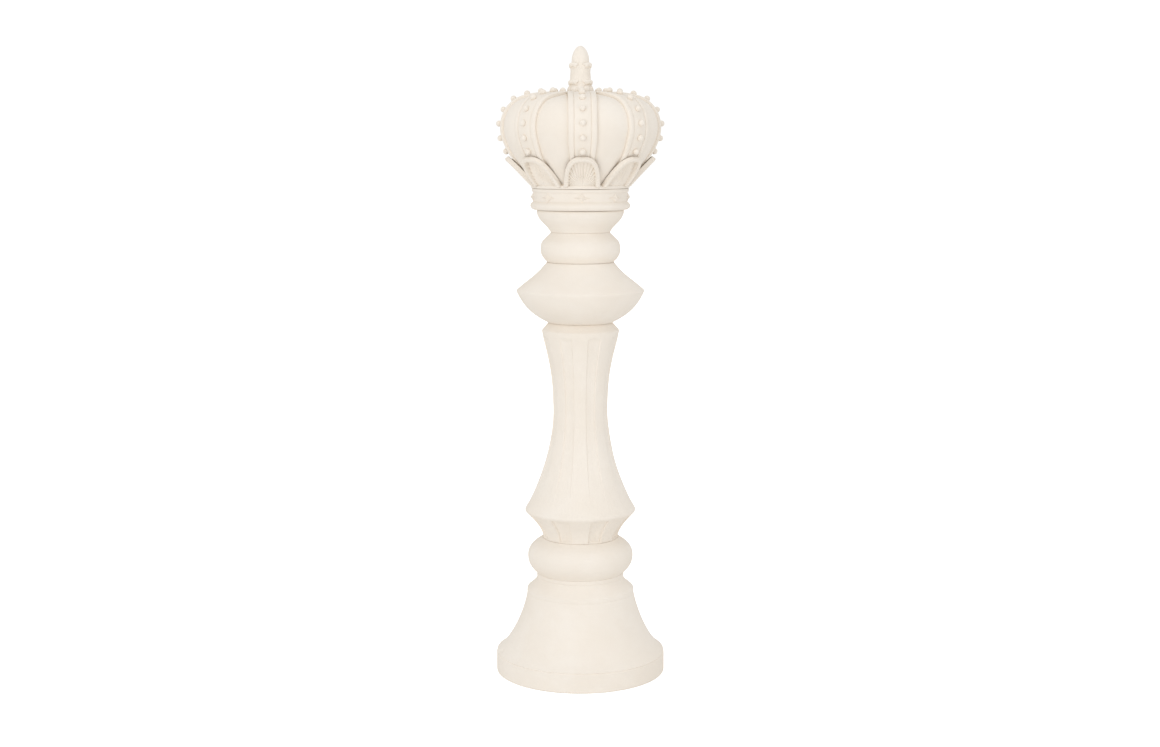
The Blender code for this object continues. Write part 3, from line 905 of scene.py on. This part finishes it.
def bent_leaf(side, up, out):
    """Places on a leaf: sideways, up from its foot and out from its plane, bent round the crown's axis."""
    run, rise = LEAF_TIP[0] - LEAF_FOOT[0], LEAF_TIP[1] - LEAF_FOOT[1]
    length = math.hypot(run, rise)
    r = LEAF_FOOT[0] + (run * up + rise * out) / length
    z = LEAF_FOOT[1] + (rise * up - run * out) / length
    turn = side / r
    return np.stack((r * np.sin(turn), -r * np.cos(turn), z), axis=-1)


def leaf_mesh():
    """A leaf: a rolled, softly notched rim round a deep hollow with a fan of grooves and a middle vein."""
    length = math.dist(LEAF_FOOT, LEAF_TIP)
    spokes, rings = 181, 64
    around = np.linspace(0.0, math.pi, spokes)
    across, along = np.cos(around), np.sin(around)
    blunt = (np.abs(across) / LEAF_HALF_W) ** LEAF_ROUND + (along / length) ** LEAF_ROUND
    reach = blunt ** (-1 / LEAF_ROUND)
    edge = np.stack((across * reach, along * reach), axis=-1)
    travel = np.concatenate(([0.0], np.cumsum(np.linalg.norm(np.diff(edge, axis=0), axis=1))))
    share = 1 - (np.arange(rings) / rings) ** 1.25
    flat = share[:, None, None] * edge[None]
    w, h = flat[..., 0], flat[..., 1]
    gap = np.linalg.norm(flat[:, :, None, :] - edge[None, None, ::2, :], axis=-1).min(axis=2)

    notch = 0.5 + 0.5 * np.cos(travel / travel[-1] * LEAF_NOTCHES * TAU + 0.30 * gap)
    roll = np.sin(np.clip((gap + 1.6) / (LEAF_RIM + 1.6), 0, 1) * math.pi) ** 0.65
    roll = roll * (gap < LEAF_RIM) * smooth_step(-1.0, 3.0, h)
    inner = smooth_step(LEAF_RIM - 1.8, LEAF_RIM + 0.8, gap)
    top = smooth_step(0.05, 0.80, h / length)
    fan = np.arctan2(w, h + 12.0)
    grooves = 0.85 * np.cos(fan * 54.0) * smooth_step(4, 24, np.hypot(w, h))
    vein = 1.6 * np.exp(-((w / 1.6) ** 2)) * (1 - 0.5 * top)
    deep = 3.6 + 4.6 * top
    front = 1.0 + roll * (3.8 - 0.9 * notch) + inner * (grooves + vein - deep)
    back = LEAF_BACK - 6.0 * inner * top
    rim_side = bent_leaf(w[:1], h[:1], front[:1] * 0.2 - 1.6)
    grid = np.concatenate((bent_leaf(w, h, front)[::-1], rim_side, bent_leaf(w * 0.985, h * 0.99, back)))
    middles = bent_leaf(np.zeros(2), np.zeros(2), np.array([0.4, LEAF_BACK]))
    rows = grid.shape[0]
    front_pole, back_pole, last = rows * spokes, rows * spokes + 1, (rows - 1) * spokes
    faces = grid_faces(rows, spokes)
    for j in range(spokes - 1):
        faces.append([front_pole, j, j + 1])
        faces.append([last + j, back_pole, last + j + 1])
    for column in (0, spokes - 1):
        faces += strip_between([front_pole] + [i * spokes + column for i in range(rows)] + [back_pole])
    return welded(new_mesh("crown_leaf", np.concatenate((grid.reshape(-1, 3), middles)), faces))


def strip_between(loop):
    """Faces across a folded loop, from its two ends to its middle."""
    faces = []
    low, high = 0, len(loop) - 1
    while high - low > 2:
        faces.append([loop[low], loop[low + 1], loop[high - 1], loop[high]])
        low, high = low + 1, high - 1
    if high - low == 2:
        faces.append([loop[low], loop[low + 1], loop[high]])
    return faces


def make_leaves():
    """Eight leaves that lean out from the foot of the dome."""
    repeat_round("crown_leaf", leaf_mesh(), deep_shaded_leaf_stone)


# ------------------------------------------------------------------ finial

# The middle lines of the two tiers of rolled leaves, from their foot to the end of their roll.
UPPER_CURL = (
    (17.5, 1238), (19.4, 1248), (19.8, 1256), (20.0, 1263), (20.8, 1269.5),
    (22.6, 1271.4), (24.3, 1270), (24.2, 1266.4), (22.6, 1265.4),
)
LOWER_CURL = (
    (19.5, 1208), (20.6, 1217), (21.0, 1225), (21.4, 1231), (22.4, 1235.6),
    (24.2, 1237), (25.7, 1235.4), (25.6, 1232), (24.0, 1231),
)
CURL_HALF = 2.0


def curled_leaf(path, turn, wide):
    """A small leaf that climbs the bud and rolls over at its tip."""
    knots = np.array(path, float)
    at = np.linspace(0, 1, len(knots))
    share = np.linspace(0, 1, 40)
    r, z = np.interp(share, at, knots[:, 0]), np.interp(share, at, knots[:, 1])
    blur = np.array([0.25, 0.5, 0.25])
    for _ in range(4):
        r[1:-1], z[1:-1] = np.convolve(r, blur, "valid"), np.convolve(z, blur, "valid")
    u = np.linspace(-1, 1, 25)
    lobes = 1 + 0.10 * np.cos(share * 3 * TAU)
    side = u[None, :] * (wide * lobes * (0.80 + 0.20 * np.sin(share * math.pi)))[:, None]
    vein = 0.9 * np.exp(-((u / 0.14) ** 2)) + 1.1 * np.abs(u) ** 4
    radius = r[:, None] - vein[None, :] * (0.4 + 0.6 * share[:, None])
    height = z[:, None] - 3.2 * (u**2)[None, :] * smooth_step(0.35, 0.8, share)[:, None]
    angle = side / radius
    centre = np.stack((radius * np.sin(angle), -radius * np.cos(angle), height), axis=-1)
    normal = np.cross(np.gradient(centre, axis=1), np.gradient(centre, axis=0))
    normal /= np.linalg.norm(normal, axis=-1)[..., None]
    thick = CURL_HALF * np.sqrt(1.02 - u**6)[None, :, None]
    points = np.stack((centre + thick * normal, centre - thick * normal)).reshape(-1, 3)
    rows, columns = centre.shape[:2]
    count = rows * columns
    front = grid_faces(rows, columns)
    faces = front + [[count + v for v in reversed(face)] for face in front]
    border = [i * columns for i in range(rows)]
    border += [(rows - 1) * columns + j for j in range(1, columns)]
    border += [i * columns + columns - 1 for i in reversed(range(rows - 1))]
    border += list(reversed(range(1, columns - 1)))
    for here, after in zip(border, border[1:] + border[:1]):
        faces.append([here, after, count + after, count + here])
    return points @ np.array(Matrix.Rotation(turn, 3, "Z")).T, faces


def bud_core():
    """The bud's turned core with faint creases, and a blind hole for the stud."""
    hole_r = STUD_R + GAP
    hole_z = STUD_TOP_Z + GAP
    path = outline(
        (0, TIP_Z, 0.0),
        ((9.5, TIP_Z - 0.6), (14, 1296), (17, 1286)),
        ((17.8, 1281), (18, 1276), (18.4, 1270)),
        ((19.4, 1262), (20.6, 1254), (21, 1246)),
        ((21.4, 1238), (21.8, 1232), (22.4, 1227)),
        ((23.4, 1222), (25.6, 1220), (25.8, FINIAL_Z + 2)),
        (25.2, FINIAL_Z, 0.8),
        (hole_r, FINIAL_Z, 0.3),
        (hole_r, hole_z, 0.0),
        (0, hole_z, 0.0),
        step=1.2,
    )
    profile = np.array([p[:2] for p in softened(path) if p[0] > ON_AXIS])
    spokes = 96
    r, turn = np.meshgrid(profile[:, 0], np.arange(spokes) * TAU / spokes, indexing="ij")
    z = np.repeat(profile[:, 1:2], spokes, axis=1)
    sway = turn + 0.5 + 0.02 * (z - 1285)
    crease = np.abs(np.cos(2 * sway)) ** 18 * smooth_step(3, 12, r) * (z > 1258)
    r = r - 0.9 * crease
    points = np.stack((r * np.cos(turn), r * np.sin(turn), z), axis=-1).reshape(-1, 3)
    faces = grid_faces(len(profile), spokes, False, True) + pole_faces(len(profile), spokes)
    return np.concatenate((points, [(0.0, 0.0, TIP_Z), (0.0, 0.0, hole_z)])), faces


def petal(turn):
    """A small petal that drapes over the bud's foot."""
    points, faces = ellipsoid(8.0, 3.6, 8.4, 12, 18)
    side, deep, up = points.T
    narrow = 1 - 0.025 * np.clip(-up, 0, None)
    points = np.stack((side * narrow, deep - 24.4 + 0.03 * side**2 + 0.20 * up, up + 1218.6), axis=-1)
    return points @ np.array(Matrix.Rotation(turn, 3, "Z")).T, faces


def make_finial():
    """The bud, its two tiers of rolled leaves and its petals, fused as one casting."""
    shapes = [bud_core()]
    for k in range(4):
        turn = RIB_TURN + (k + 0.5) * TAU / 4
        shapes.append(curled_leaf(UPPER_CURL, turn, 11.5))
        shapes.append(curled_leaf(LOWER_CURL, turn, 13.5))
    for k in range(10):
        shapes.append(petal(RIB_TURN + k * TAU / 10))
    points, faces = [], []
    for more_points, more_faces in shapes:
        faces += [[len(points) + v for v in face] for face in more_faces]
        points += map(tuple, more_points)
    finial = add_object("finial_stone", welded(new_mesh("finial", points, faces)), carved_stone)
    fuse = finial.modifiers.new("Fuse", "REMESH")
    fuse.mode = "VOXEL"
    fuse.voxel_size = 0.62 * MM
    soften = finial.modifiers.new("Soften", "SMOOTH")
    soften.factor = 0.5
    soften.iterations = 2
    settle(finial, SHARP_CARVED)
    place(finial, "crown", "cast_stone", "finial")


# ------------------------------------------------------------------ fixings

SCREW_HOLE_R = 2.8


def make_plate():
    """The steel plate in the foot of the bell, with a pocket for the rod's head and four screw holes."""
    head_top = ROD_HEAD_Z + ROD_HEAD_T
    path = outline(
        (ROD_HOLE_R, PLATE_TOP_Z),
        (PLATE_R, PLATE_TOP_Z, 1.0),
        (PLATE_R, PLATE_Z, 1.0),
        (ROD_HEAD_R + GAP, PLATE_Z, 0.5),
        (ROD_HEAD_R + GAP, head_top + GAP),
        (ROD_HOLE_R, head_top + GAP),
        step=8.0,
    )
    plate = lathe("base_plate_steel", path, 192, steel)
    drills = []
    for i in range(1, 5):
        drill_path = outline((0, 20, 0.0), (SCREW_HOLE_R, 20), (SCREW_HOLE_R, -5), (0, -5, 0.0), step=8.0)
        drill = lathe(f"drill_{i}", drill_path, 24, None)
        drill.location = node_middle(f"foot_screw_{i}")
        drills.append(drill)
        hole = plate.modifiers.new(drill.name, "BOOLEAN")
        hole.operation = "DIFFERENCE"
        hole.object = drill
    settle(plate)
    for drill in drills:
        bpy.data.objects.remove(drill)
    place(plate, "column", "zinc_steel", "base_plate")


def node_middle(node):
    """The middle of a CAD node's box, on the floor."""
    low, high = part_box(node)
    return ((low.x + high.x) / 2, (low.y + high.y) / 2, 0.0)


def make_feet():
    """Thin rubber pads with a tread groove and a countersink, and their screws."""
    for i in range(1, 5):
        here = node_middle(f"rubber_foot_{i}")
        top = high_z(f"rubber_foot_{i}")
        foot_path = outline(
            (SCREW_HOLE_R, top, 0.2),
            (20, top, 0.8),
            (19, 0, 0.8),
            (15.5, 0, 0.3),
            (15.1, 0.9, 0.3),
            (13.6, 0.9, 0.3),
            (13.2, 0, 0.3),
            (11.2, 0, 0.3),
            (10.8, 0.9, 0.3),
            (9.6, 0.9, 0.3),
            (9.2, 0, 0.3),
            (6.4, 0, 0.4),
            (6.4, 0.9, 0.2),
            step=3.0,
        )
        foot = lathe(f"rubber_foot_{i}_moulded", foot_path, 64, rubber)
        foot.location = here
        place(foot, "column", "black_rubber", f"rubber_foot_{i}")
        head, end = low_z(f"foot_screw_{i}"), high_z(f"foot_screw_{i}")
        screw_path = outline(
            (0, end, 0.0),
            (2.0, end, 0.4),
            (2.4, end - 0.8, 0.3),
            (2.4, 3.0, 0.2),
            (5.6, head + 0.5, 0.2),
            (5.6, head, 0.2),
            (2.2, head, 0.2),
            (1.6, head + 1.6, 0.2),
            (0, head + 1.8, 0.0),
            step=1.5,
        )
        screw = lathe(f"foot_screw_{i}_steel", screw_path, 40, steel)
        screw.location = here
        place(screw, "column", "zinc_steel", f"foot_screw_{i}")


THREAD_PITCH = 1.75
THREAD_DEPTH = 0.55
SPOKES = np.arange(48) * TAU / 48


def ring_points(rings):
    """The points of rings of (radius, height). A radius is a number, or one for each spoke."""
    rows = [(r * np.cos(SPOKES), r * np.sin(SPOKES), np.full(len(SPOKES), z)) for r, z in rings]
    return np.concatenate([np.stack(row, axis=-1) for row in rows])


def ringed(name, rings):
    """A solid from rings, with flat ends."""
    count = len(SPOKES)
    faces = grid_faces(len(rings), count, False, True)
    faces.append(list(reversed(range(count))))
    faces.append([(len(rings) - 1) * count + j for j in range(count)])
    return add_object(name, welded(new_mesh(name, ring_points(rings), faces)), steel)


def thread_rings(radius, high, low):
    """Rings down a rolled thread."""
    rings = []
    for z in np.arange(high, low, -THREAD_PITCH / 4):
        cut = THREAD_DEPTH * (0.5 - 0.5 * np.cos(TAU * z / THREAD_PITCH - SPOKES))
        rings.append((radius - cut, z))
    return rings


def hexagon(corner_r):
    """The radii of a six-sided outline."""
    flat_r = corner_r * math.cos(math.pi / 6)
    return flat_r / np.cos((SPOKES % (TAU / 6)) - TAU / 12)


def make_nut(node, bore):
    """A nut with chamfered corners and a bore."""
    bottom, top = low_z(node), high_z(node)
    corner_r = max(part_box(node)[1].x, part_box(node)[1].y) / MM
    outside = hexagon(corner_r)
    rounded = np.minimum(outside, corner_r - 1.3) - 0.6
    hole = np.full(len(SPOKES), bore)
    rings = [
        (hole + 0.6, top),
        (rounded, top),
        (outside, top - 1.3),
        (outside, bottom + 1.3),
        (rounded, bottom),
        (hole + 0.6, bottom),
        (hole, bottom + 0.7),
        (hole, top - 0.7),
    ]
    faces = grid_faces(len(rings), len(SPOKES), True, True)
    mesh = shaded(new_mesh(node + "_steel", ring_points(rings), faces), SHARP_NUT)
    place(add_object(node + "_steel", mesh, steel), "column", "zinc_steel", node)


def make_tie_rod():
    """The rod with its threaded end and its flat socket head, and its washer and nut."""
    top = high_z("tie_rod")
    head_top = ROD_HEAD_Z + ROD_HEAD_T
    socket = hexagon(5.0)
    rings = [(ROD_R - 1.0, top), (ROD_R - 0.1, top - 0.9)]
    rings += thread_rings(ROD_R, top - 1.0, top - 44.0)
    rings += [
        (ROD_R, top - 46.0),
        (ROD_R, head_top),
        (ROD_HEAD_R - 0.5, head_top),
        (ROD_HEAD_R, head_top - 0.5),
        (ROD_HEAD_R, ROD_HEAD_Z + 0.6),
        (ROD_HEAD_R - 0.6, ROD_HEAD_Z),
        (socket + 0.3, ROD_HEAD_Z),
        (socket, ROD_HEAD_Z + 0.3),
        (socket, ROD_HEAD_Z + 2.6),
    ]
    place(ringed("tie_rod_steel", rings), "column", "zinc_steel", "tie_rod")
    bottom, high = low_z("tie_rod_washer"), high_z("tie_rod_washer")
    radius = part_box("tie_rod_washer")[1].x / MM
    path = outline(
        (ROD_HOLE_R, high, 0.5),
        (radius, high, 0.8),
        (radius, bottom, 0.8),
        (ROD_HOLE_R, bottom, 0.5),
        step=4.0,
    )
    washer = lathe("tie_rod_washer_steel", path, 64, steel)
    place(washer, "column", "zinc_steel", "tie_rod_washer")
    make_nut("tie_rod_nut", ROD_R + GAP)


def make_finial_stud():
    """The threaded stud that pins the finial to the dome."""
    top, bottom = high_z("finial_stud"), low_z("finial_stud")
    rings = [(STUD_R - 0.9, top), (STUD_R - 0.1, top - 0.8)]
    rings += thread_rings(STUD_R, top - 1.0, bottom + 1.0)
    rings += [(STUD_R - 0.1, bottom + 0.8), (STUD_R - 0.9, bottom)]
    place(ringed("finial_stud_steel", rings), "crown", "zinc_steel", "finial_stud")


# ------------------------------------------------------------------ studio


def plain_material(name, colour, roughness):
    """A studio surface."""
    n = Nodes(name)
    n.shader.inputs["Base Color"].default_value = (*colour, 1.0)
    n.shader.inputs["Roughness"].default_value = roughness
    n.shader.inputs["Specular IOR Level"].default_value = 0.2
    return n.material


def add_light(name, at, towards, size, power, colour):
    """A soft area light that looks at a point."""
    data = bpy.data.lights.new(name, "AREA")
    data.energy = power
    data.color = colour
    data.shape = "RECTANGLE"
    data.size, data.size_y = size
    lamp = bpy.data.objects.new(name, data)
    lamp.location = at
    lamp.rotation_euler = (Vector(towards) - Vector(at)).to_track_quat("-Z", "Y").to_euler()
    bpy.context.scene.collection.objects.link(lamp)


def make_studio():
    """A white floor and surround, a large key light on the front left, and weaker ones right and above."""
    reach = 30.0
    corners = [(-reach, -reach, 0), (reach, -reach, 0), (reach, reach, 0), (-reach, reach, 0)]
    floor_mesh = bpy.data.meshes.new("floor")
    floor_mesh.from_pydata(corners, [], [(0, 1, 2, 3)])
    white = plain_material("studio_floor", (0.90, 0.89, 0.875), 0.9)
    shader = white.node_tree.nodes["Principled BSDF"]
    shader.inputs["Emission Color"].default_value = (1.0, 1.0, 1.0, 1.0)
    in_view = white.node_tree.nodes.new("ShaderNodeLightPath")
    white.node_tree.links.new(in_view.outputs["Is Camera Ray"], shader.inputs["Emission Strength"])
    add_object("floor", floor_mesh, white)
    world = bpy.data.worlds.new("studio")
    world.use_nodes = True
    tree = world.node_tree
    surround = tree.nodes["Background"]
    surround.inputs["Color"].default_value = (1.0, 1.0, 1.0, 1.0)
    surround.inputs["Strength"].default_value = 0.76
    backdrop = tree.nodes.new("ShaderNodeBackground")
    backdrop.inputs["Color"].default_value = (1.0, 1.0, 1.0, 1.0)
    backdrop.inputs["Strength"].default_value = 1.05
    seen = tree.nodes.new("ShaderNodeLightPath")
    mix = tree.nodes.new("ShaderNodeMixShader")
    tree.links.new(seen.outputs["Is Camera Ray"], mix.inputs[0])
    tree.links.new(surround.outputs[0], mix.inputs[1])
    tree.links.new(backdrop.outputs[0], mix.inputs[2])
    tree.links.new(mix.outputs[0], tree.nodes["World Output"].inputs["Surface"])
    bpy.context.scene.world = world
    middle = (0.0, 0.0, 0.75)
    add_light("key", (-2.2, -3.6, 1.5), middle, (2.6, 2.4), 36.0, (1.0, 0.99, 0.98))
    add_light("fill", (2.8, -2.2, 1.0), middle, (1.6, 1.6), 12.0, (1.0, 0.98, 0.96))
    add_light("top", (0.1, -1.2, 3.6), middle, (2.0, 2.0), 8.0, (1.0, 1.0, 1.0))
    bpy.context.scene.view_settings.view_transform = "Standard"


def make_camera():
    """The camera stands in front at head height and looks a little down."""
    data = bpy.data.cameras.new("camera")
    data.sensor_width = 36.0
    data.lens = 52.34
    camera = bpy.data.objects.new("camera", data)
    camera.location = (-0.0008, -3.487, 1.1146)
    camera.rotation_euler = (math.radians(90.0 - 7.84), 0.0, 0.0)
    bpy.context.scene.collection.objects.link(camera)
    bpy.context.scene.camera = camera


make_bell()
make_lower_ring()
make_stem()
make_collar()
make_neck_ring()
make_neck_cup()
make_band()
make_stars()
make_cap()
make_arches()
make_leaves()
make_finial()
make_plate()
make_feet()
make_tie_rod()
make_finial_stud()
make_studio()
make_camera()
